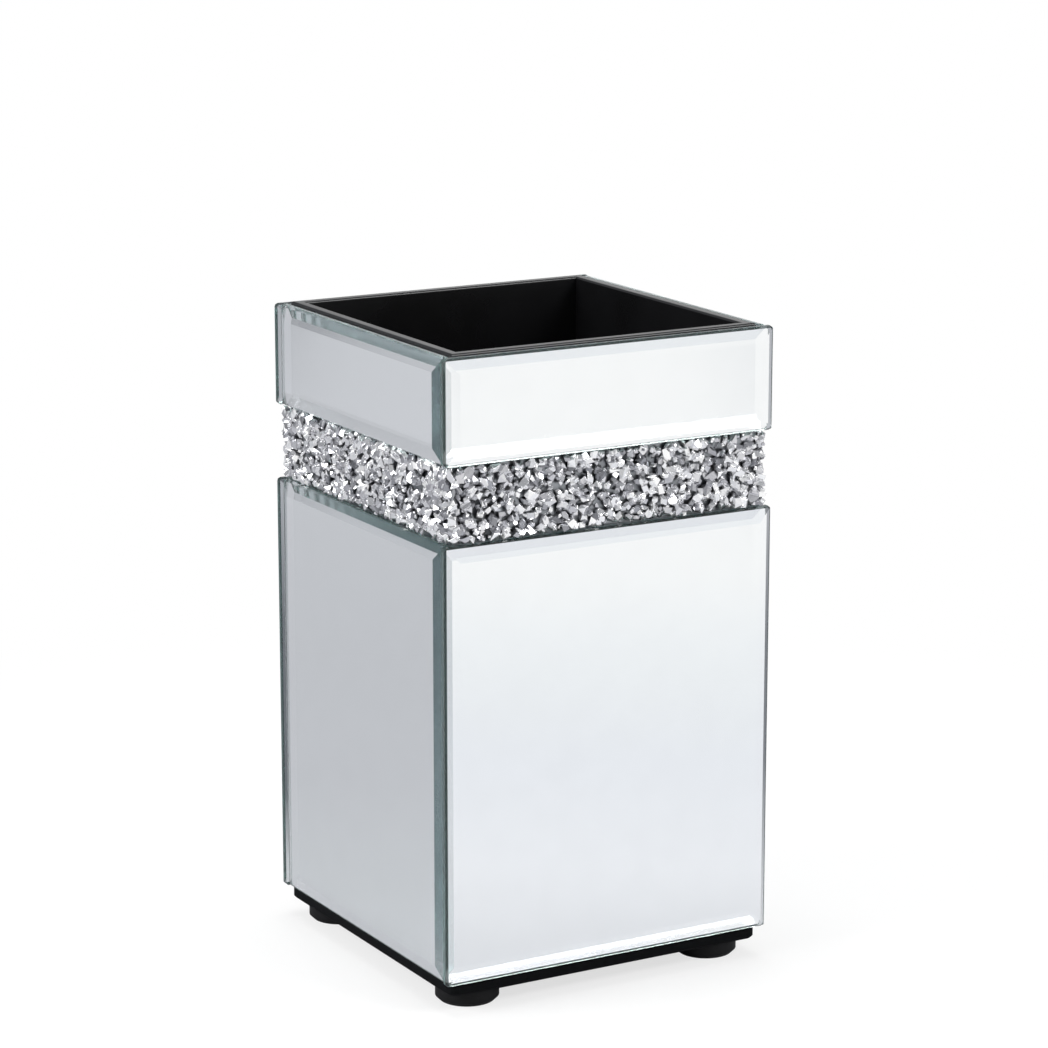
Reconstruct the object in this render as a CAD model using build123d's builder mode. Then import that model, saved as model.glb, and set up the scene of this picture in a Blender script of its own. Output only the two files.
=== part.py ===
"""Mirrored makeup brush holder.

A square open box of four mitred boards stands on a plinth with four screwed feet. Bevelled mirrors are taped round it
as a tall body and a short collar, and between the two runs a recessed band of crushed silvered glass. The brushes
stand inside on a felt lining.

The origin is the middle of the footprint, on the surface that the feet stand on. +Z is up and -Y is the front.
All sizes are in millimetres.
"""
import os
import random

from build123d import *
from scipy.spatial import Voronoi

os.makedirs("parts", exist_ok=True)

# Overall sizes, over the glass
width = 100.0
body_height = 119.0
band_height = 20.7
collar_height = 28.3

# Boards
board = 3.0
rim_rise = 0.5
rim_round = 0.6
plinth_thickness = 3.4
plinth_inset = 2.0
plinth_corner = 3.0
plinth_edge_bevel = 0.6
lining_thickness = 1.0
lining_clearance = 0.4

# Mirrors: the bevel leaves a thinner edge, and the arris is the small 45 degree edge that the grinder leaves
glass = 3.0
bevel_width = 4.3
bevel_drop = 1.1
arris = 0.6
back_arris = 0.3
glass_nip = 1.0
corner_joint = 0.1

# Foam tape that holds the mirrors off the boards
tape = 1.0
tape_width = 12.0
tape_inset = 20.0
tape_setback = 4.0

# Crushed glass band: the chips' size across, the gap between them, and how far they stand off their backing
backing = 0.5
backing_lap = 1.5
chip_size = 3.8
chip_gap = 0.2
chip_low = 0.9
chip_high = 2.3
chip_overhang = 1.1

# A chip's centre strays from an even layout, and its peaks lie between its middle and its corners, by these shares
chip_stray = 0.38
peak_near = 0.2
peak_far = 0.75
chip_peaks = 2

# Feet and their screws
foot_radius = 8.6
foot_height = 4.8
foot_inset = 12.4
foot_bevel = 1.1
foot_recess_radius = 3.6
foot_recess_depth = 2.2
screw_radius = 1.5
screw_head_radius = 3.0
screw_head_height = 1.4
screw_bite = 5.0

# Brads in the corners and the floor
brad_thick = 1.0
brad_wide = 1.2
brad_length = 14.0
corner_brads = 3
floor_brad_spacing = 43.0

# Levels, from the surface up
plinth_bottom = foot_height
plinth_top = plinth_bottom + plinth_thickness
body_top = plinth_top + body_height
collar_bottom = body_top + band_height
collar_top = collar_bottom + collar_height
rim_top = collar_top + rim_rise
floor_top = plinth_top + board

# Half widths, from the middle out
glass_face = width / 2
glass_back = glass_face - glass
core_face = glass_back - tape
core_inside = core_face - board
backing_face = core_face + backing

# The sides in turn about the upright axis. The front and back pieces lap over the ends of the left and right ones
lapping = ("front", "back")
sides = {name: turn * 360 / 4 for turn, name in enumerate(("front", "right", "back", "left"))}


def outward(angle, distance, level):
    """The upright plane of one side of the box, with its local Z pointing out and its local Y up."""
    normal = Vector(0, -1, 0).rotate(Axis.Z, angle)
    along = Vector(1, 0, 0).rotate(Axis.Z, angle)
    return Plane(origin=normal * distance + Vector(0, 0, level), x_dir=along, z_dir=normal)


def plan(angle, level):
    """The level plane turned so that one side of the box lies at its local -Y."""
    return Plane(origin=(0, 0, level), x_dir=Vector(1, 0, 0).rotate(Axis.Z, angle), z_dir=(0, 0, 1))


def save(piece, label):
    """Names a finished piece and writes it."""
    piece.part.label = label
    export_step(piece.part, f"parts/{label}.step")


# Brads: flat wire pins, a row up each mitred corner and two through the foot of each wall into the floor
corner_brad_x = core_face - board / 2
corner_brad_span = rim_top - floor_top
with BuildPart() as brads:
    for angle in (0, 180):
        with BuildSketch(outward(angle, core_face, floor_top + corner_brad_span / 2)):
            with GridLocations(2 * corner_brad_x, corner_brad_span / corner_brads, 2, corner_brads):
                Rectangle(brad_thick, brad_wide)
        extrude(amount=-brad_length)
    for angle in sides.values():
        with BuildSketch(outward(angle, core_face, plinth_top + board / 2)):
            with GridLocations(floor_brad_spacing, 0, 2, 1):
                Rectangle(brad_wide, brad_thick)
        extrude(amount=-brad_length)
save(brads, "brads")


# Foot screws: each passes up through a foot and the plinth and bites into the floor board
foot_spacing = width - 2 * foot_inset
with BuildPart() as foot_screws:
    with BuildSketch(Plane.XY.offset(foot_recess_depth)):
        with GridLocations(foot_spacing, foot_spacing, 2, 2):
            Circle(screw_head_radius)
    extrude(amount=-screw_head_height)
    with BuildSketch(Plane.XY.offset(foot_recess_depth)):
        with GridLocations(foot_spacing, foot_spacing, 2, 2):
            Circle(screw_radius)
    extrude(amount=foot_height - foot_recess_depth + screw_bite)
save(foot_screws, "foot_screws")


# Wall boards, mitred where they meet, with their top edges eased
for side, angle in sides.items():
    with BuildPart() as wall:
        with BuildSketch(plan(angle, plinth_top)):
            Polygon(
                (-core_face, -core_face),
                (core_face, -core_face),
                (core_inside, -core_inside),
                (-core_inside, -core_inside),
                align=None,
            )
        extrude(amount=rim_top - plinth_top)
        rim_edges = wall.edges().group_by(Axis.Z)[-1]
        fillet(rim_edges.filter_by(Axis((0, 0, 0), plan(angle, 0).x_dir)), rim_round)
        add(brads.part, mode=Mode.SUBTRACT)
    save(wall, f"wall_{side}")


# Floor board, pinned between the walls
with BuildPart() as floor_board:
    with BuildSketch(Plane.XY.offset(plinth_top)):
        Rectangle(2 * core_inside, 2 * core_inside)
    extrude(amount=board)
    add(brads.part, mode=Mode.SUBTRACT)
    add(foot_screws.part, mode=Mode.SUBTRACT)
save(floor_board, "floor_board")


# Felt lining, laid loose on the floor board
lining_side = 2 * (core_inside - lining_clearance)
with BuildPart() as felt_lining:
    with BuildSketch(Plane.XY.offset(floor_top)):
        Rectangle(lining_side, lining_side)
    extrude(amount=lining_thickness)
save(felt_lining, "felt_lining")


# Plinth: the base board, set back under the mirrors
with BuildPart() as plinth:
    with BuildSketch(Plane.XY.offset(plinth_bottom)):
        RectangleRounded(width - 2 * plinth_inset, width - 2 * plinth_inset, plinth_corner)
    extrude(amount=plinth_thickness)
    chamfer(plinth.edges().group_by(Axis.Z)[0], plinth_edge_bevel)
    add(foot_screws.part, mode=Mode.SUBTRACT)
save(plinth, "plinth")


# Feet: round rubber pads with a bevelled tread and a counterbore for the screw
for place in GridLocations(foot_spacing, foot_spacing, 2, 2):
    x, y = place.position.X, place.position.Y
    with BuildPart() as foot:
        with BuildSketch():
            with Locations((x, y)):
                Circle(foot_radius)
        extrude(amount=foot_height)
        chamfer(foot.edges().group_by(Axis.Z)[0], foot_bevel)
        with Locations(foot.faces().sort_by(Axis.Z)[0]):
            CounterBoreHole(screw_radius, foot_recess_radius, foot_recess_depth)
    save(foot, f"foot_{'front' if y < 0 else 'back'}_{'left' if x < 0 else 'right'}")


def mirror(angle, bottom, height, panel_width):
    """One bevelled mirror. Its silvered back stands on the tape, and its corners are nipped off."""
    back_plane = outward(angle, glass_back, bottom)
    with BuildPart(back_plane) as panel:
        Box(panel_width, height, glass, align=(Align.CENTER, Align.MIN, Align.MIN))
        depth = Axis(back_plane.origin, back_plane.z_dir)
        face = panel.faces().sort_by(depth)[-1]
        chamfer(face.edges(), length=bevel_width, length2=bevel_drop, reference=face)
        outer_edges = panel.edges().group_by(depth)[-3]
        chamfer(outer_edges, length=arris)
        chamfer(panel.faces().sort_by(depth)[0].edges(), length=back_arris)
        with BuildSketch(back_plane) as outline:
            with Locations((0, height / 2)):
                Rectangle(panel_width, height)
            chamfer(outline.vertices(), glass_nip)
        extrude(amount=glass, mode=Mode.INTERSECT)
    return panel


def tape_strips(angle):
    """Two upright strips of foam tape behind the body mirror and two behind the collar mirror."""
    with BuildPart() as strips:
        for bottom, height in ((plinth_top, body_height), (collar_bottom, collar_height)):
            with BuildSketch(outward(angle, core_face, bottom + height / 2)):
                with GridLocations(width - 2 * tape_inset, 0, 2, 1):
                    Rectangle(tape_width, height - 2 * tape_setback)
            extrude(amount=tape)
    return strips


def band_backing(angle, length):
    """The silvered card that carries the chips. It laps behind the edges of the mirrors above and below."""
    with BuildPart() as card:
        with BuildSketch(outward(angle, core_face, body_top + band_height / 2)):
            Rectangle(length, band_height + 2 * backing_lap)
        extrude(amount=backing)
    return card


def shard(outline, draw):
    """One chip of crushed glass: a flat seat inside its outline, broken off above in random slopes."""
    middle = sum(outline, Vector()) / len(outline)
    seat = [corner + (middle - corner).normalized() * chip_gap for corner in outline]
    peaks = []
    for corner in draw.sample(outline, chip_peaks):
        height = draw.uniform(chip_low, chip_high)
        peaks.append(middle + (corner - middle) * draw.uniform(peak_near, peak_far) + Vector(0, 0, height))
    return ConvexPolyhedron(seat + peaks)


def crushed_glass(length, seed):
    """The chips for one side, lying on its backing: each fills the part of the band that is nearest to its centre."""
    draw = random.Random(seed)
    columns = round(length / chip_size)
    rows = round(band_height / chip_size)
    centres = []
    for column in range(columns):
        for row in range(rows):
            x = (column + 0.5 + draw.uniform(-chip_stray, chip_stray)) * length / columns - length / 2
            y = (row + 0.5 + draw.uniform(-chip_stray, chip_stray)) * band_height / rows - band_height / 2
            centres.append((x, y))

    # Centres mirrored in the band's four edges make the outlines end there
    mirrored = [(side * length - x, y) for x, y in centres for side in (-1, 1)]
    mirrored += [(x, side * band_height - y) for x, y in centres for side in (-1, 1)]
    regions = Voronoi(centres + mirrored)

    shards = []
    for centre in range(len(centres)):
        outline = []
        for corner in regions.regions[regions.point_region[centre]]:
            point = Vector(*regions.vertices[corner])
            if all((point - other).length > 2 * chip_gap for other in outline):
                outline.append(point)
        shards.append(shard(outline, draw))
    return shards


lapping_chips = crushed_glass(2 * (backing_face + chip_overhang), seed=3)
inner_chips = crushed_glass(2 * backing_face, seed=7)

for side, angle in sides.items():
    laps = side in lapping
    mirror_width = width if laps else 2 * (glass_back - corner_joint)
    save(mirror(angle, plinth_top, body_height, mirror_width), f"body_mirror_{side}")
    save(mirror(angle, collar_bottom, collar_height, mirror_width), f"collar_mirror_{side}")
    save(tape_strips(angle), f"foam_tape_{side}")
    save(band_backing(angle, 2 * (backing_face if laps else core_face)), f"band_backing_{side}")
    with BuildPart() as chips:
        with Locations(outward(angle, backing_face, body_top + band_height / 2)):
            add(lapping_chips if laps else inner_chips)
    save(chips, f"crystals_{side}")
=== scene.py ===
import math
import random

import bmesh
import bpy
from mathutils import Euler, Matrix, Vector, noise


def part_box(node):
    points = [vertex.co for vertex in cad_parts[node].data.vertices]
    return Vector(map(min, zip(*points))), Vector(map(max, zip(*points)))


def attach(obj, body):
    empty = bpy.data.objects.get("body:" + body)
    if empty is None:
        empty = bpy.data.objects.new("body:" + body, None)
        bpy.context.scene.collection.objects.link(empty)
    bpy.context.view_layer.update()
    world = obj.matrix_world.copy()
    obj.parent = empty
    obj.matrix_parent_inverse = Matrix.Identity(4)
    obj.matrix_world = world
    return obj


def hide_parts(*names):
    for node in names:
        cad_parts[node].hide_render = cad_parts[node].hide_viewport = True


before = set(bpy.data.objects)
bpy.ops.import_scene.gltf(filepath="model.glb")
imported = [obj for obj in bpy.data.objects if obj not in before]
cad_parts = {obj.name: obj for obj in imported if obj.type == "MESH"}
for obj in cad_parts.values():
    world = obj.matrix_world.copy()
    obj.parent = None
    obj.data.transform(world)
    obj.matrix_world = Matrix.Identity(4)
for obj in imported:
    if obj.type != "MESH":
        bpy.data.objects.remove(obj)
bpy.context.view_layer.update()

# The camera: where it looks, its turn and rise from the front, how far off it stands, and its lens
AIM = Vector((0.00138, 0.0, 0.11771))
CAMERA_TURN = math.radians(-29.71)
CAMERA_RISE = math.radians(13.18)
CAMERA_DISTANCE = 1.00325
LENS_MM = 125.77
SENSOR_MM = 36.0

# Each side's turn about the upright axis, in degrees
TURNS = {"front": 0, "right": 90, "back": 180, "left": 270}

# A millimetre, in the scene's metres
MM = 0.001


def linear(code):
    """The linear colour of an sRGB hex code."""
    parts = [int(code[i : i + 2], 16) / 255 for i in (1, 3, 5)]
    return (*[p / 12.92 if p <= 0.04045 else ((p + 0.055) / 1.055) ** 2.4 for p in parts], 1.0)


WHITE = linear("#FFFFFF")


def per_metre(size_mm):
    """The texture scale at which a pattern repeats at this size."""
    return 1000 / size_mm


def add(tree, kind, inputs=None, stops=(), **settings):
    """Adds a node with its settings, links and colour stops. Each input is a value, or what feeds it."""
    made = tree.nodes.new(kind)
    for name, value in settings.items():
        setattr(made, name, value)
    for key, value in (inputs or {}).items():
        socket = made.inputs[key] if isinstance(key, int) else next(
            s for s in made.inputs if s.enabled and s.name == key
        )
        if isinstance(value, bpy.types.Node):
            value = next(s for s in value.outputs if s.enabled)
        if isinstance(value, bpy.types.NodeSocket):
            tree.links.new(value, socket)
        else:
            socket.default_value = value
    for i, (position, code) in enumerate(stops):
        elements = made.color_ramp.elements
        element = elements[i] if i < 2 else elements.new(position)
        element.position = position
        element.color = linear(code)
    return made


def new_material(name):
    """An empty material: its node tree, and the place on the piece in metres."""
    material = bpy.data.materials.new(name)
    material.use_nodes = True
    tree = material.node_tree
    tree.nodes.clear()
    place = add(tree, "ShaderNodeTexCoord").outputs["Object"]
    return material, tree, place


# How far from the middle the chips' seats lie
CHIP_SEAT = -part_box("band_backing_front")[0].y

# The left and right mirrors end just short of this distance from the middle, and the front and back ones lie
# beyond it
LAP_EDGE = (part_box("body_mirror_left")[1].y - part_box("body_mirror_front")[1].y) / 2

# The roughness of the mirrors' ground edges, and of the narrow arris between an edge and the bevel
EDGE_HAZE = 0.3
ARRIS_HAZE = 0.22


def float_glass():
    """Clear float glass, cut, bevelled and polished. The trace of iron in it shows green where the eye looks
    along the sheet, the polisher's faint ripple bends what the mirror shows, and the edges, which are only
    ground, are hazy. On the front and back mirrors, whose edges close the corners, painted shade tints the
    edges grey, and the arrises between them and the bevels dark."""
    material, tree, place = new_material("float_glass")

    # How squarely a face looks out of its own side of the box: 1 on the flat, almost 1 on the bevel, 0.6 on
    # the arris and 0 on an edge
    normal = add(tree, "ShaderNodeNewGeometry").outputs["True Normal"]
    turned = add(tree, "ShaderNodeVectorMath", {0: normal}, operation="ABSOLUTE")
    turned = add(tree, "ShaderNodeSeparateXYZ", {0: turned})
    placed = add(tree, "ShaderNodeVectorMath", {0: place}, operation="ABSOLUTE")
    placed = add(tree, "ShaderNodeSeparateXYZ", {0: placed})
    lapping = add(tree, "ShaderNodeMath", {0: placed.outputs["Y"], 1: LAP_EDGE}, operation="GREATER_THAN")
    outward = add(
        tree, "ShaderNodeMix", {"Factor": lapping, "A": turned.outputs["X"], "B": turned.outputs["Y"]}
    )
    haze = add(
        tree,
        "ShaderNodeMapRange",
        {"Value": outward, "From Min": 0.5, "From Max": 0.95, "To Min": EDGE_HAZE, "To Max": 0.0},
    )
    # Painted shade: on the front and back mirrors the glass's colour darkens at the edges, and most at the
    # arrises
    painted_edge_shade = add(tree, "ShaderNodeMath", {0: haze, 1: lapping}, operation="MULTIPLY")
    tone = add(
        tree,
        "ShaderNodeValToRGB",
        {"Fac": painted_edge_shade},
        ((0.0, "#FFFFFF"), (ARRIS_HAZE, "#3A4240"), (EDGE_HAZE, "#A2ACAA")),
    )
    ripple = add(tree, "ShaderNodeTexNoise", {"Vector": place, "Scale": per_metre(22), "Detail": 1.0})
    bump = add(tree, "ShaderNodeBump", {"Height": ripple, "Strength": 0.15, "Distance": 0.02 * MM})
    glass = add(
        tree,
        "ShaderNodeBsdfPrincipled",
        {
            "Base Color": tone,
            "Roughness": haze,
            "IOR": 1.52,
            "Transmission Weight": 1.0,
            "Normal": bump,
        },
    )
    tint = add(tree, "ShaderNodeVolumeAbsorption", {"Color": linear("#8CC8BF"), "Density": 14.0})
    add(tree, "ShaderNodeOutputMaterial", {"Surface": glass, "Volume": tint})
    return material


def mirror_silver():
    """Wet-deposited silver behind the glass. It gives back nearly all the light, with a trace of bloom."""
    material, tree, place = new_material("mirror_silver")
    bloom = add(tree, "ShaderNodeTexNoise", {"Vector": place, "Scale": per_metre(9), "Detail": 3.0})
    tone = add(tree, "ShaderNodeValToRGB", {"Fac": bloom}, ((0.3, "#FCFBFC"), (0.7, "#FEFDFE")))
    haze = add(tree, "ShaderNodeMapRange", {"Value": bloom, "To Min": 0.05, "To Max": 0.09})
    silver = add(tree, "ShaderNodeBsdfPrincipled", {"Base Color": tone, "Metallic": 1.0, "Roughness": haze})
    add(tree, "ShaderNodeOutputMaterial", {"Surface": silver})
    return material


def backing_paint():
    """The pale grey roller paint that seals a mirror's silver: a dull face with the roller's stipple."""
    material, tree, place = new_material("backing_paint")
    stipple = add(tree, "ShaderNodeTexNoise", {"Vector": place, "Scale": per_metre(1.4), "Detail": 2.0})
    tone = add(tree, "ShaderNodeValToRGB", {"Fac": stipple}, ((0.3, "#D9DBDD"), (0.7, "#E4E6E8")))
    bump = add(tree, "ShaderNodeBump", {"Height": stipple, "Strength": 0.4, "Distance": 0.03 * MM})
    paint = add(tree, "ShaderNodeBsdfPrincipled", {"Base Color": tone, "Roughness": 0.6, "Normal": bump})
    add(tree, "ShaderNodeOutputMaterial", {"Surface": paint})
    return material


def crushed_glass():
    """Silvered glass, broken by hammer and tumbled. Every chip lies its own way, so one flashes white beside
    another that is grey. The tumbling has softened their edges, and painted shade darkens the gaps towards
    the backing."""
    material, tree, place = new_material("crushed_glass")
    chip = add(tree, "ShaderNodeNewGeometry").outputs["Random Per Island"]
    tone = add(
        tree,
        "ShaderNodeValToRGB",
        {"Fac": chip},
        ((0.0, "#8C8D92"), (0.22, "#C4C4C8"), (0.55, "#ECECEE"), (1.0, "#FFFFFF")),
    )

    # Painted shade in the gaps: the nearer to its backing a point lies, the darker it is painted
    spread = add(tree, "ShaderNodeVectorMath", {0: place}, operation="ABSOLUTE")
    spread = add(tree, "ShaderNodeSeparateXYZ", {0: spread})
    reach = add(tree, "ShaderNodeMath", {0: spread.outputs["X"], 1: spread.outputs["Y"]}, operation="MAXIMUM")
    depth = add(
        tree,
        "ShaderNodeMapRange",
        {"Value": reach, "From Min": CHIP_SEAT + 0.2 * MM, "From Max": CHIP_SEAT + 1.4 * MM},
    )
    painted_gap_shade = add(tree, "ShaderNodeValToRGB", {"Fac": depth}, ((0.0, "#7A7A7E"), (1.0, "#FFFFFF")))
    colour = add(
        tree, "ShaderNodeMix", {"Factor": 1.0, "A": tone, "B": painted_gap_shade}, data_type="RGBA", blend_type="MULTIPLY"
    )

    # The tumbling has dulled the chips in patches, and dented their faces a little
    cloud = add(tree, "ShaderNodeTexNoise", {"Vector": place, "Scale": per_metre(2.2), "Detail": 2.0})
    rough = add(tree, "ShaderNodeMapRange", {"Value": cloud, "To Min": 0.06, "To Max": 0.22})
    soft_edge = add(tree, "ShaderNodeBevel", {"Radius": 0.14 * MM}, samples=4)
    bump = add(
        tree, "ShaderNodeBump", {"Height": cloud, "Strength": 0.3, "Distance": 0.25 * MM, "Normal": soft_edge}
    )
    glass = add(
        tree,
        "ShaderNodeBsdfPrincipled",
        {"Base Color": colour, "Metallic": 0.85, "Roughness": rough, "Normal": bump},
    )
    add(tree, "ShaderNodeOutputMaterial", {"Surface": glass})
    return material


def foil_card():
    """Card faced with silver foil, slightly creased. It fills the gaps between the chips with grey glints."""
    material, tree, place = new_material("foil_card")
    crease = add(
        tree, "ShaderNodeTexVoronoi", {"Vector": place, "Scale": per_metre(2.4)}, feature="SMOOTH_F1"
    )
    tone = add(tree, "ShaderNodeValToRGB", {"Fac": crease}, ((0.0, "#7C7F83"), (0.6, "#9FA2A6")))
    rough = add(tree, "ShaderNodeMapRange", {"Value": crease, "To Min": 0.25, "To Max": 0.45})
    bump = add(tree, "ShaderNodeBump", {"Height": crease, "Strength": 0.5, "Distance": 0.2 * MM})
    foil = add(
        tree,
        "ShaderNodeBsdfPrincipled",
        {"Base Color": tone, "Metallic": 1.0, "Roughness": rough, "Normal": bump},
    )
    add(tree, "ShaderNodeOutputMaterial", {"Surface": foil})
    return material


def satin_lacquer():
    """Fibreboard sprayed with black satin lacquer. The spray's fine orange peel breaks up its highlights,
    which turn pale where the eye skims along the rim."""
    material, tree, place = new_material("satin_lacquer")
    peel = add(tree, "ShaderNodeTexNoise", {"Vector": place, "Scale": per_metre(1.1), "Detail": 2.0})
    cloud = add(tree, "ShaderNodeTexNoise", {"Vector": place, "Scale": per_metre(28), "Detail": 4.0})
    tone = add(tree, "ShaderNodeValToRGB", {"Fac": cloud}, ((0.3, "#0A0A0B"), (0.7, "#111113")))
    rough = add(tree, "ShaderNodeMapRange", {"Value": cloud, "To Min": 0.22, "To Max": 0.36})
    bump = add(tree, "ShaderNodeBump", {"Height": peel, "Strength": 0.3, "Distance": 0.03 * MM})
    lacquer = add(
        tree,
        "ShaderNodeBsdfPrincipled",
        {"Base Color": tone, "Roughness": rough, "IOR": 1.5, "Normal": bump},
    )
    add(tree, "ShaderNodeOutputMaterial", {"Surface": lacquer})
    return material


def matt_paint():
    """Black primer rolled thinly on the base board. It has soaked into the fibres, so it is matt and almost
    without shine. The fibres are drawn coarser than real ones, so that they show."""
    material, tree, place = new_material("matt_paint")
    fibre = add(
        tree,
        "ShaderNodeTexNoise",
        {"Vector": place, "Scale": per_metre(1.6), "Detail": 5.0, "Roughness": 0.65},
    )
    tone = add(tree, "ShaderNodeValToRGB", {"Fac": fibre}, ((0.3, "#08090A"), (0.7, "#111214")))
    rough = add(tree, "ShaderNodeMapRange", {"Value": fibre, "To Min": 0.6, "To Max": 0.85})
    bump = add(tree, "ShaderNodeBump", {"Height": fibre, "Strength": 0.4, "Distance": 0.05 * MM})
    paint = add(
        tree,
        "ShaderNodeBsdfPrincipled",
        {"Base Color": tone, "Roughness": rough, "Specular IOR Level": 0.05, "Normal": bump},
    )
    add(tree, "ShaderNodeOutputMaterial", {"Surface": paint})
    return material


def pressed_felt():
    """Pressed black felt: short fibres lie every way, so it is matt and a little paler at a glancing look.
    The fibres are drawn coarser than real ones, so that they show."""
    material, tree, place = new_material("pressed_felt")
    fibre = add(
        tree,
        "ShaderNodeTexNoise",
        {"Vector": place, "Scale": per_metre(0.7), "Detail": 6.0, "Roughness": 0.75, "Distortion": 1.6},
    )
    tone = add(
        tree, "ShaderNodeValToRGB", {"Fac": fibre}, ((0.35, "#0F0F11"), (0.6, "#202023"), (0.75, "#333337"))
    )
    bump = add(tree, "ShaderNodeBump", {"Height": fibre, "Strength": 0.8, "Distance": 0.25 * MM})
    felt = add(
        tree,
        "ShaderNodeBsdfPrincipled",
        {"Base Color": tone, "Roughness": 0.95, "Sheen Weight": 0.35, "Sheen Roughness": 0.5, "Normal": bump},
    )
    add(tree, "ShaderNodeOutputMaterial", {"Surface": felt})
    return material


def foam_tape():
    """Black polyethylene foam, cut through its cells, so that its edges are pitted and matt. The cells are
    drawn larger than real ones, so that they show."""
    material, tree, place = new_material("foam_tape")
    cells = add(tree, "ShaderNodeTexVoronoi", {"Vector": place, "Scale": per_metre(0.45)})
    tone = add(tree, "ShaderNodeValToRGB", {"Fac": cells}, ((0.1, "#0A0A0B"), (0.7, "#1A1A1C")))
    bump = add(tree, "ShaderNodeBump", {"Height": cells, "Strength": 0.8, "Distance": 0.12 * MM})
    foam = add(tree, "ShaderNodeBsdfPrincipled", {"Base Color": tone, "Roughness": 0.9, "Normal": bump})
    add(tree, "ShaderNodeOutputMaterial", {"Surface": foam})
    return material


def moulded_rubber():
    """Compression-moulded black rubber. The mould's fine blast, drawn coarser than it is so that it shows,
    gives it a matt skin, and its edges come out soft."""
    material, tree, place = new_material("moulded_rubber")
    blast = add(tree, "ShaderNodeTexNoise", {"Vector": place, "Scale": per_metre(0.35), "Detail": 3.0})
    scuff = add(tree, "ShaderNodeTexNoise", {"Vector": place, "Scale": per_metre(5), "Detail": 5.0})
    tone = add(tree, "ShaderNodeValToRGB", {"Fac": scuff}, ((0.35, "#070708"), (0.7, "#101012")))
    rough = add(tree, "ShaderNodeMapRange", {"Value": scuff, "To Min": 0.5, "To Max": 0.75})
    soft_edge = add(tree, "ShaderNodeBevel", {"Radius": 0.7 * MM}, samples=6)
    bump = add(
        tree, "ShaderNodeBump", {"Height": blast, "Strength": 0.3, "Distance": 0.04 * MM, "Normal": soft_edge}
    )
    rubber = add(
        tree,
        "ShaderNodeBsdfPrincipled",
        {"Base Color": tone, "Roughness": rough, "Specular IOR Level": 0.22, "Normal": bump},
    )
    add(tree, "ShaderNodeOutputMaterial", {"Surface": rubber})
    return material


def zinc_steel():
    """Steel with bright zinc plating: pale, slightly blue, with the soft patches of the plating bath."""
    material, tree, place = new_material("zinc_steel")
    bath = add(tree, "ShaderNodeTexNoise", {"Vector": place, "Scale": per_metre(1.6), "Detail": 4.0})
    tone = add(tree, "ShaderNodeValToRGB", {"Fac": bath}, ((0.35, "#A9AEB4"), (0.65, "#C9CED4")))
    rough = add(tree, "ShaderNodeMapRange", {"Value": bath, "To Min": 0.22, "To Max": 0.42})
    bump = add(tree, "ShaderNodeBump", {"Height": bath, "Strength": 0.2, "Distance": 0.03 * MM})
    zinc = add(
        tree,
        "ShaderNodeBsdfPrincipled",
        {"Base Color": tone, "Metallic": 1.0, "Roughness": rough, "Normal": bump},
    )
    add(tree, "ShaderNodeOutputMaterial", {"Surface": zinc})
    return material


GLASS = float_glass()
SILVER = mirror_silver()
PAINT = backing_paint()
CRUSHED = crushed_glass()
LACQUER = satin_lacquer()
ZINC = zinc_steel()
FELT = pressed_felt()

# The finish of each node, by the start of its name
NODE_FINISHES = {
    "body_mirror": GLASS,
    "collar_mirror": GLASS,
    "crystals": CRUSHED,
    "band_backing": foil_card(),
    "wall": LACQUER,
    "floor_board": LACQUER,
    "plinth": matt_paint(),
    "felt_lining": FELT,
    "foam_tape": foam_tape(),
    "foot_screws": ZINC,
    "brads": ZINC,
    "foot": moulded_rubber(),
}

for name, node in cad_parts.items():
    finish = next(f for start, f in NODE_FINISHES.items() if name.startswith(start))
    for slot in node.material_slots:
        slot.material = finish


def side_axes(side):
    """A side's own directions: along it to the right, up, and out of the box."""
    turn = math.radians(TURNS[side])
    along = Vector((math.cos(turn), math.sin(turn), 0))
    out = Vector((math.sin(turn), -math.cos(turn), 0))
    return along, Vector((0, 0, 1)), out


def side_extent(side, node):
    """A node's lowest and highest place along the side, up it and out of it."""
    low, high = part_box(node)
    return [sorted((axis.dot(low), axis.dot(high))) for axis in side_axes(side)]


def new_piece(name, mesh, slot, *materials):
    """A piece of the holder, made from a bmesh and carried by its body."""
    data = bpy.data.meshes.new(name)
    mesh.to_mesh(data)
    mesh.free()
    for material in materials:
        data.materials.append(material)
    piece = bpy.data.objects.new(name, data)
    bpy.context.scene.collection.objects.link(piece)
    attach(piece, "root")
    return piece


# The silver's coat stops short of the glass's edges, most at the ends of the front and back mirrors, which
# lap over the left and right ones. It is nipped off at its corners as the glass is
LAPPING = ("front", "back")
COAT_LAP_MARGIN = 1.2 * MM
COAT_INNER_MARGIN = 0.2 * MM
COAT_END_MARGIN = 0.45 * MM
COAT_NIP = 1.0 * MM
COAT_DEPTH = 0.05 * MM
COAT_THICKNESS = 0.12 * MM


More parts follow.
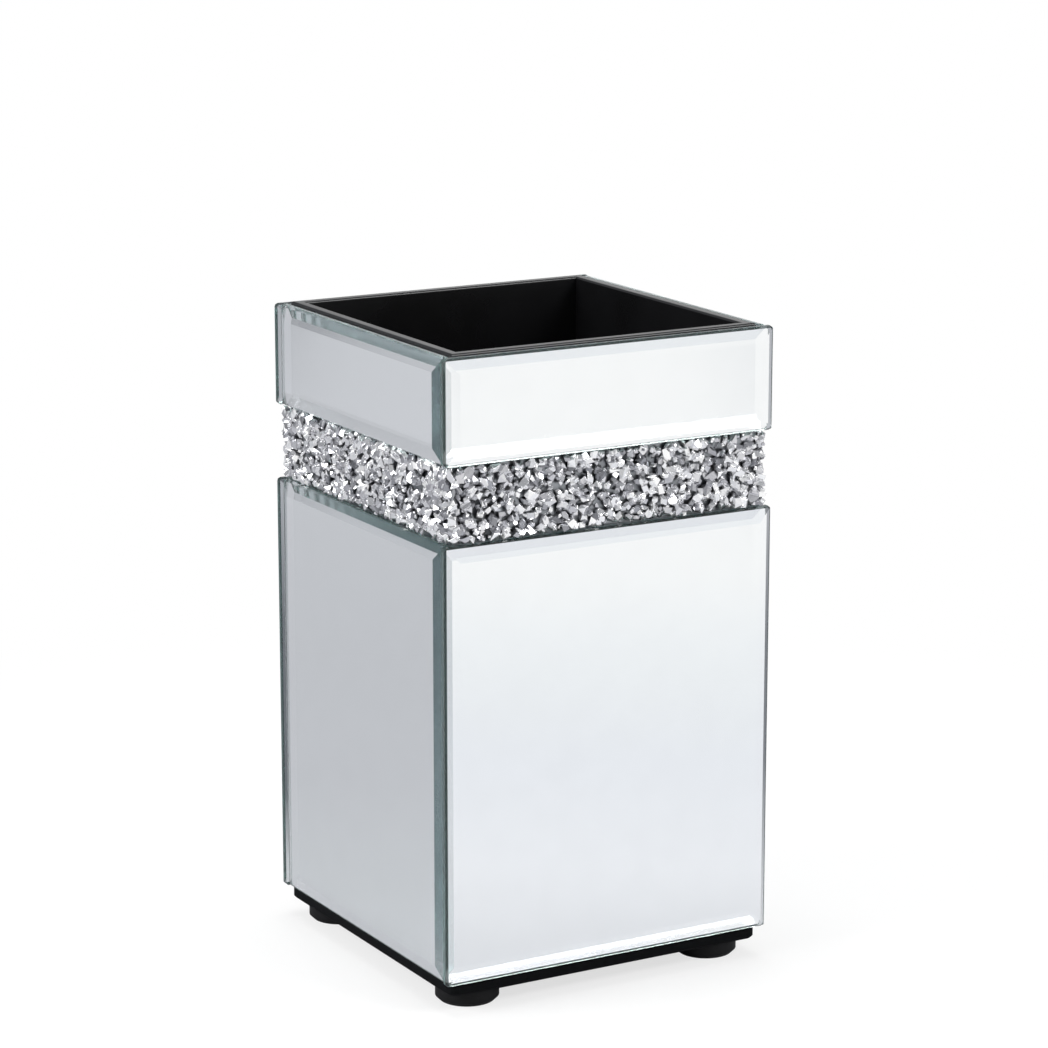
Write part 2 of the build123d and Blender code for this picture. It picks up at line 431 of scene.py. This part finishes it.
def silver_coat(side, panel):
    """The silver and its backing paint on one mirror. The bright face lies just inside the glass's back."""
    along, up, out = side_axes(side)
    (left, right), (bottom, top), (back, _) = side_extent(side, panel)
    margin = COAT_LAP_MARGIN if side in LAPPING else COAT_INNER_MARGIN
    left, right = left + margin, right - margin
    bottom, top = bottom + COAT_END_MARGIN, top - COAT_END_MARGIN

    # Two points for each nipped corner, in order round the outline. Du and dv lead from the corner inwards
    outline = []
    for u, v, du, dv in (
        (left, bottom, 1, 1),
        (right, bottom, -1, 1),
        (right, top, -1, -1),
        (left, top, 1, -1),
    ):
        corners = [(u + du * COAT_NIP, v), (u, v + dv * COAT_NIP)]
        outline += corners if du * dv < 0 else corners[::-1]

    mesh = bmesh.new()
    face_level = back + COAT_DEPTH
    back_level = face_level - COAT_THICKNESS
    bright = [mesh.verts.new(along * u + up * v + out * face_level) for u, v in outline]
    dull = [mesh.verts.new(along * u + up * v + out * back_level) for u, v in outline]
    mesh.faces.new(bright)
    mesh.faces.new(dull[::-1])
    for i in range(len(outline)):
        j = (i + 1) % len(outline)
        mesh.faces.new((bright[j], bright[i], dull[i], dull[j]))
    mesh.normal_update()
    mesh.faces.ensure_lookup_table()
    for face in mesh.faces[1:]:
        face.material_index = 1
    new_piece(f"silver_coat_{panel}", mesh, "mirror_glass", SILVER, PAINT)


for side in TURNS:
    silver_coat(side, f"body_mirror_{side}")
    silver_coat(side, f"collar_mirror_{side}")


# Crushed glass lies in two layers: the spacing of each layer's chips, their half sizes and how far out they
# lie, in millimetres
CHIP_LAYERS = (
    {"spacing": 2.9, "size": (1.5, 2.3), "lift": (0.2, 0.9)},
    {"spacing": 2.4, "size": (0.9, 1.6), "lift": (0.7, 1.8)},
)

# Each chip has one of so many shapes. It lies between these shares of its own square in the layout, is tilted
# by up to this angle in radians, and is narrowed and stretched by these shares
CHIP_SHAPES = 48
CHIP_STRAY = (0.1, 0.9)
CHIP_TILT = 1.1
CHIP_WIDTH = (0.6, 1.0)
CHIP_LENGTH = (0.9, 1.3)

# How far the chips may stand out beyond the CAD's, and run past the ends of their side
CHIP_PROUD = 0.2 * MM
CORNER_LAP = 0.9 * MM

# A shape's two outlines, in units of half a chip: how far below and above the middle they lie, how wide the
# upper one is, how far each is shifted, and how far their corners stray, round them and in and out
OUTLINE_BELOW = (0.3, 0.6)
OUTLINE_ABOVE = (0.2, 0.6)
OUTLINE_TOP = (0.5, 0.9)
OUTLINE_SHIFT = (-0.2, 0.2)
CORNER_TURN = (-0.3, 0.3)
CORNER_REACH = (0.7, 1.1)


def chip_shape(draw):
    """One chip, about two units across: the hull round two uneven outlines of four to six corners, a smaller
    one over the other. Gives its corners and its faces."""
    count = draw.randint(4, 6)
    start = draw.uniform(0, math.tau)
    hull = bmesh.new()
    for height, reach in (
        (-draw.uniform(*OUTLINE_BELOW), 1.0),
        (draw.uniform(*OUTLINE_ABOVE), draw.uniform(*OUTLINE_TOP)),
    ):
        shift = Vector((draw.uniform(*OUTLINE_SHIFT), draw.uniform(*OUTLINE_SHIFT), height))
        for i in range(count):
            angle = start + (i + draw.uniform(*CORNER_TURN)) * math.tau / count
            distance = reach * draw.uniform(*CORNER_REACH)
            hull.verts.new(Vector((math.cos(angle), math.sin(angle), 0)) * distance + shift)
    made = bmesh.ops.convex_hull(hull, input=hull.verts[:])
    inside = {v for v in made["geom_interior"] + made["geom_unused"] if isinstance(v, bmesh.types.BMVert)}
    bmesh.ops.delete(hull, geom=list(inside), context="VERTS")
    bmesh.ops.recalc_face_normals(hull, faces=hull.faces)
    hull.verts.index_update()
    corners = [v.co.copy() for v in hull.verts]
    faces = [[v.index for v in face.verts] for face in hull.faces]
    hull.free()
    return corners, faces


def crushed_band(side, seed):
    """The broken glass of one side's band: chips of two sizes, tumbled and packed on the backing."""
    draw = random.Random(seed)
    shapes = [chip_shape(draw) for _ in range(CHIP_SHAPES)]
    along, up, out = side_axes(side)
    (left, right), (bottom, top), (back, front) = side_extent(side, f"crystals_{side}")
    left, right = left - CORNER_LAP, right + CORNER_LAP
    limits = ((left, right), (bottom, top), (back, front + CHIP_PROUD))
    mesh = bmesh.new()
    for layer in CHIP_LAYERS:
        columns = round((right - left) / (layer["spacing"] * MM))
        rows = round((top - bottom) / (layer["spacing"] * MM))
        for column in range(columns):
            for row in range(rows):
                corners, faces = draw.choice(shapes)
                size = draw.uniform(*layer["size"]) * MM
                tilt = [draw.uniform(-CHIP_TILT, CHIP_TILT) for _ in range(2)]
                turn = Euler((*tilt, draw.uniform(0, math.tau))).to_matrix()
                stretch = Matrix.Diagonal((draw.uniform(*CHIP_WIDTH), draw.uniform(*CHIP_LENGTH), 1.0))
                centre = Vector(
                    (
                        left + (column + draw.uniform(*CHIP_STRAY)) * (right - left) / columns,
                        bottom + (row + draw.uniform(*CHIP_STRAY)) * (top - bottom) / rows,
                        back + draw.uniform(*layer["lift"]) * MM,
                    )
                )
                points = [turn @ (stretch @ p) * size + centre for p in corners]

                # A chip that crosses a limit of the band is shifted back in, or flattened if it is too big
                for axis, (low, high) in enumerate(limits):
                    over = max(p[axis] for p in points) - high
                    under = low - min(p[axis] for p in points)
                    shift = min(max(under, 0), -over)
                    for p in points:
                        p[axis] = max(p[axis] + shift, low)
                verts = [mesh.verts.new(along * p.x + up * p.y + out * p.z) for p in points]
                for face in faces:
                    mesh.faces.new([verts[i] for i in face])
    band = new_piece(f"crushed_glass_{side}", mesh, "crushed_glass", CRUSHED)
    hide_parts(f"crystals_{side}")


for seed, side in enumerate(TURNS):
    crushed_band(side, seed)


# The felt has so many squares each way. Its upper face dips by up to the wave, and its rim by the drop too
FELT_SQUARES = 40
FELT_WAVE_LENGTH_MM = 26
FELT_WAVE = 0.3 * MM
FELT_EDGE_DROP = 0.35 * MM


def laid_felt():
    """The felt lining. It lies a little wavy on the floor board, and the knife has pressed its edges down."""
    low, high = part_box("felt_lining")

    # A grid one unit wide, stretched to the lining's size
    mesh = bmesh.new()
    bmesh.ops.create_grid(mesh, x_segments=FELT_SQUARES, y_segments=FELT_SQUARES, size=0.5)
    mesh.verts.index_update()
    upper, squares = mesh.verts[:], mesh.faces[:]
    rim = [edge.verts[:] for edge in mesh.edges if edge.is_boundary]
    for v in upper:
        v.co.x, v.co.y = v.co.x * (high.x - low.x), v.co.y * (high.y - low.y)

    # The underside is flat, and the upper face and its rim stand over it
    lower = [mesh.verts.new((v.co.x, v.co.y, low.z)) for v in upper]
    for v in upper:
        wave = (1 + noise.noise(v.co * per_metre(FELT_WAVE_LENGTH_MM))) / 2
        v.co.z = high.z - FELT_WAVE * wave - v.is_boundary * FELT_EDGE_DROP
    for square in squares:
        mesh.faces.new([lower[v.index] for v in square.verts])
    for start, end in rim:
        mesh.faces.new((start, end, lower[end.index], lower[start.index]))
    bmesh.ops.recalc_face_normals(mesh, faces=mesh.faces)
    for face in mesh.faces:
        face.smooth = True
    felt = new_piece("laid_felt", mesh, "black_felt", FELT)
    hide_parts("felt_lining")


laid_felt()


# The way over the floor from what the left mirrors show, behind the holder, to what the front ones show,
# before it, and the way across that
SWEEP_WAY = (0.49, -0.87, 0.0)
SWEEP_ACROSS = (0.87, 0.49, 0.0)

# How far from the holder the floor's greys are set, and how far it runs on, in metres
SWEEP_REACH = 0.7
FLOOR_REACH = 8.0


def studio_floor():
    """A pale sweep. The eye sees it white, the mirrors see its greys, and it keeps the holder's shadow."""
    material, tree, place = new_material("studio_floor")
    rays = add(tree, "ShaderNodeLightPath").outputs
    to_eye = rays["Is Camera Ray"]
    seen = add(tree, "ShaderNodeMath", {0: to_eye, 1: rays["Is Glossy Ray"]}, operation="MAXIMUM")
    seen = add(tree, "ShaderNodeMath", {0: seen, 1: rays["Is Transmission Ray"]}, operation="MAXIMUM")

    # The greys that the mirrors see along the sweep, painted into the floor's glow as light and shade
    along = add(tree, "ShaderNodeVectorMath", {0: place, 1: SWEEP_WAY}, operation="DOT_PRODUCT")
    along = along.outputs["Value"]
    ahead = add(
        tree, "ShaderNodeMapRange", {"Value": along, "From Min": -SWEEP_REACH, "From Max": SWEEP_REACH}
    )
    tone = add(
        tree,
        "ShaderNodeValToRGB",
        {"Fac": ahead},
        (
            (0.0, "#D2D3D8"),
            (0.1, "#CACBD0"),
            (0.36, "#C5C6CB"),
            (0.44, "#CACCD0"),
            (0.56, "#E3E4E8"),
            (0.6, "#EAEBEF"),
            (0.68, "#ECEEF3"),
            (0.73, "#F2F4F7"),
            (0.79, "#F7F9FB"),
            (0.86, "#FFFFFF"),
        ),
    )

    # The light falls off to the right: close by behind the holder, coming back beyond, and far off in front
    across = add(tree, "ShaderNodeVectorMath", {0: place, 1: SWEEP_ACROSS}, operation="DOT_PRODUCT")
    across = across.outputs["Value"]
    beside = add(
        tree, "ShaderNodeMapRange", {"Value": across, "From Min": -SWEEP_REACH, "From Max": SWEEP_REACH}
    )
    fall_behind = add(
        tree,
        "ShaderNodeValToRGB",
        {"Fac": beside},
        (
            (0.34, "#F0F1F2"),
            (0.39, "#FFFFFF"),
            (0.515, "#FFFFFF"),
            (0.56, "#8A8C90"),
            (0.7, "#94969A"),
            (0.85, "#E4E5E7"),
        ),
    )
    fall_ahead = add(
        tree,
        "ShaderNodeValToRGB",
        {"Fac": beside},
        ((0.53, "#FFFFFF"), (0.58, "#EEEFF1"), (0.68, "#F4F5F7"), (0.8, "#FBFBFC"), (1.0, "#A8AAAD")),
    )
    front = add(tree, "ShaderNodeMapRange", {"Value": along, "From Min": -0.05, "From Max": 0.05})
    fall = add(tree, "ShaderNodeMix", {"Factor": front, "A": fall_behind, "B": fall_ahead}, data_type="RGBA")
    tone = add(tree, "ShaderNodeVectorMath", {0: tone, 1: fall}, operation="MULTIPLY")
    shown = add(tree, "ShaderNodeMix", {"Factor": to_eye, "A": tone, "B": WHITE}, data_type="RGBA")

    # Near the holder the sweep also takes its shadow, in full where a mirror looks at the floor close by
    reach = add(tree, "ShaderNodeVectorMath", {0: place}, operation="LENGTH").outputs["Value"]
    near = add(
        tree,
        "ShaderNodeMapRange",
        {"Value": reach, "From Min": 0.08, "From Max": 0.35, "To Min": 0.3, "To Max": 0.0},
        interpolation_type="SMOOTHSTEP",
    )
    under = add(
        tree,
        "ShaderNodeMapRange",
        {"Value": reach, "From Min": 0.05, "From Max": 0.11, "To Min": 1.0, "To Max": 0.0},
        interpolation_type="SMOOTHSTEP",
    )
    unseen = add(tree, "ShaderNodeMath", {0: 1.0, 1: to_eye}, operation="SUBTRACT")
    under = add(tree, "ShaderNodeMath", {0: under, 1: unseen}, operation="MULTIPLY")
    near = add(tree, "ShaderNodeMath", {0: near, 1: under}, operation="MAXIMUM")
    glow = add(tree, "ShaderNodeEmission", {"Color": shown, "Strength": 1.0})
    shaded = add(tree, "ShaderNodeBsdfDiffuse", {"Color": shown})
    bright = add(tree, "ShaderNodeMixShader", {0: near, 1: glow, 2: shaded})
    plain = add(tree, "ShaderNodeBsdfDiffuse", {"Color": linear("#E8E8E8")})
    surface = add(tree, "ShaderNodeMixShader", {0: seen, 1: plain, 2: bright})
    add(tree, "ShaderNodeOutputMaterial", {"Surface": surface})

    mesh = bmesh.new()
    bmesh.ops.create_grid(mesh, x_segments=1, y_segments=1, size=FLOOR_REACH)
    data = bpy.data.meshes.new("studio_floor")
    mesh.to_mesh(data)
    mesh.free()
    data.materials.append(material)
    floor = bpy.data.objects.new("studio_floor", data)
    bpy.context.scene.collection.objects.link(floor)


def studio_world():
    """White to the eye, a plain soft light on the piece, and in the mirrors a grey room whose horizon is
    white in front of the holder and beside it, and grey in between and behind."""
    world = bpy.data.worlds.new("studio")
    bpy.context.scene.world = world
    world.use_nodes = True
    tree = world.node_tree
    tree.nodes.clear()
    rays = add(tree, "ShaderNodeLightPath").outputs
    direction = add(tree, "ShaderNodeTexCoord").outputs["Generated"]

    # The horizon's greys, from straight behind the holder to straight before it, along the floor's sweep
    along = add(tree, "ShaderNodeVectorMath", {0: direction, 1: SWEEP_WAY}, operation="DOT_PRODUCT")
    along = along.outputs["Value"]
    ahead = add(tree, "ShaderNodeMapRange", {"Value": along, "From Min": -1.0, "From Max": 1.0})
    horizon = add(
        tree,
        "ShaderNodeValToRGB",
        {"Fac": ahead},
        (
            (0.01, "#CCCDD2"),
            (0.04, "#888A8E"),
            (0.15, "#888A8E"),
            (0.25, "#FFFFFF"),
            (0.5, "#FFFFFF"),
            (0.75, "#8A8C90"),
            (0.88, "#FFFFFF"),
        ),
    )

    # Above the horizon the room is one grey
    height = add(tree, "ShaderNodeSeparateXYZ", {0: direction}).outputs["Z"]
    raised = add(
        tree,
        "ShaderNodeMapRange",
        {"Value": height, "From Min": 0.25, "From Max": 0.55},
        interpolation_type="SMOOTHSTEP",
    )
    room = add(
        tree, "ShaderNodeMix", {"Factor": raised, "A": horizon, "B": linear("#94969A")}, data_type="RGBA"
    )
    mirrored = add(
        tree,
        "ShaderNodeMath",
        {0: rays["Is Glossy Ray"], 1: rays["Is Transmission Ray"]},
        operation="MAXIMUM",
    )
    colour = add(
        tree, "ShaderNodeMix", {"Factor": mirrored, "A": linear("#9A9B9C"), "B": room}, data_type="RGBA"
    )
    colour = add(
        tree, "ShaderNodeMix", {"Factor": rays["Is Camera Ray"], "A": colour, "B": WHITE}, data_type="RGBA"
    )
    background = add(tree, "ShaderNodeBackground", {"Color": colour, "Strength": 1.0})
    add(tree, "ShaderNodeOutputWorld", {"Surface": background})


def softbox(name, place, width, height, watts):
    """A soft lamp that faces the holder. Its place and size are in metres."""
    light = bpy.data.lights.new(name, "AREA")
    light.shape = "RECTANGLE"
    light.size, light.size_y = width, height
    light.energy = watts
    lamp = bpy.data.objects.new(name, light)
    lamp.location = place
    lamp.rotation_euler = (AIM - Vector(place)).to_track_quat("-Z", "Y").to_euler()
    bpy.context.scene.collection.objects.link(lamp)


studio_floor()
studio_world()
softbox("key_softbox", (0.9, -1.3, 1.3), 0.9, 0.7, 18)
softbox("fill_softbox", (-1.5, 0.2, 0.9), 0.9, 0.9, 22)
softbox("top_softbox", (0.1, 0.3, 1.9), 1.0, 1.0, 16)

# The way to the camera from where it looks
to_camera = Vector(
    (
        math.sin(CAMERA_TURN) * math.cos(CAMERA_RISE),
        -math.cos(CAMERA_TURN) * math.cos(CAMERA_RISE),
        math.sin(CAMERA_RISE),
    )
)
lens = bpy.data.cameras.new("camera")
lens.lens = LENS_MM
lens.sensor_width = SENSOR_MM
camera = bpy.data.objects.new("camera", lens)
camera.location = AIM + to_camera * CAMERA_DISTANCE
camera.rotation_euler = (-to_camera).to_track_quat("-Z", "Y").to_euler()
bpy.context.scene.collection.objects.link(camera)
bpy.context.scene.camera = camera
bpy.context.scene.view_settings.view_transform = "Standard"

# Light that enters by a bevel or an edge runs on inside the sheet, and meets its faces many times
GLASS_BOUNCES = 64
cycles = bpy.context.scene.cycles
cycles.max_bounces = GLASS_BOUNCES
cycles.glossy_bounces = GLASS_BOUNCES
cycles.transmission_bounces = GLASS_BOUNCES
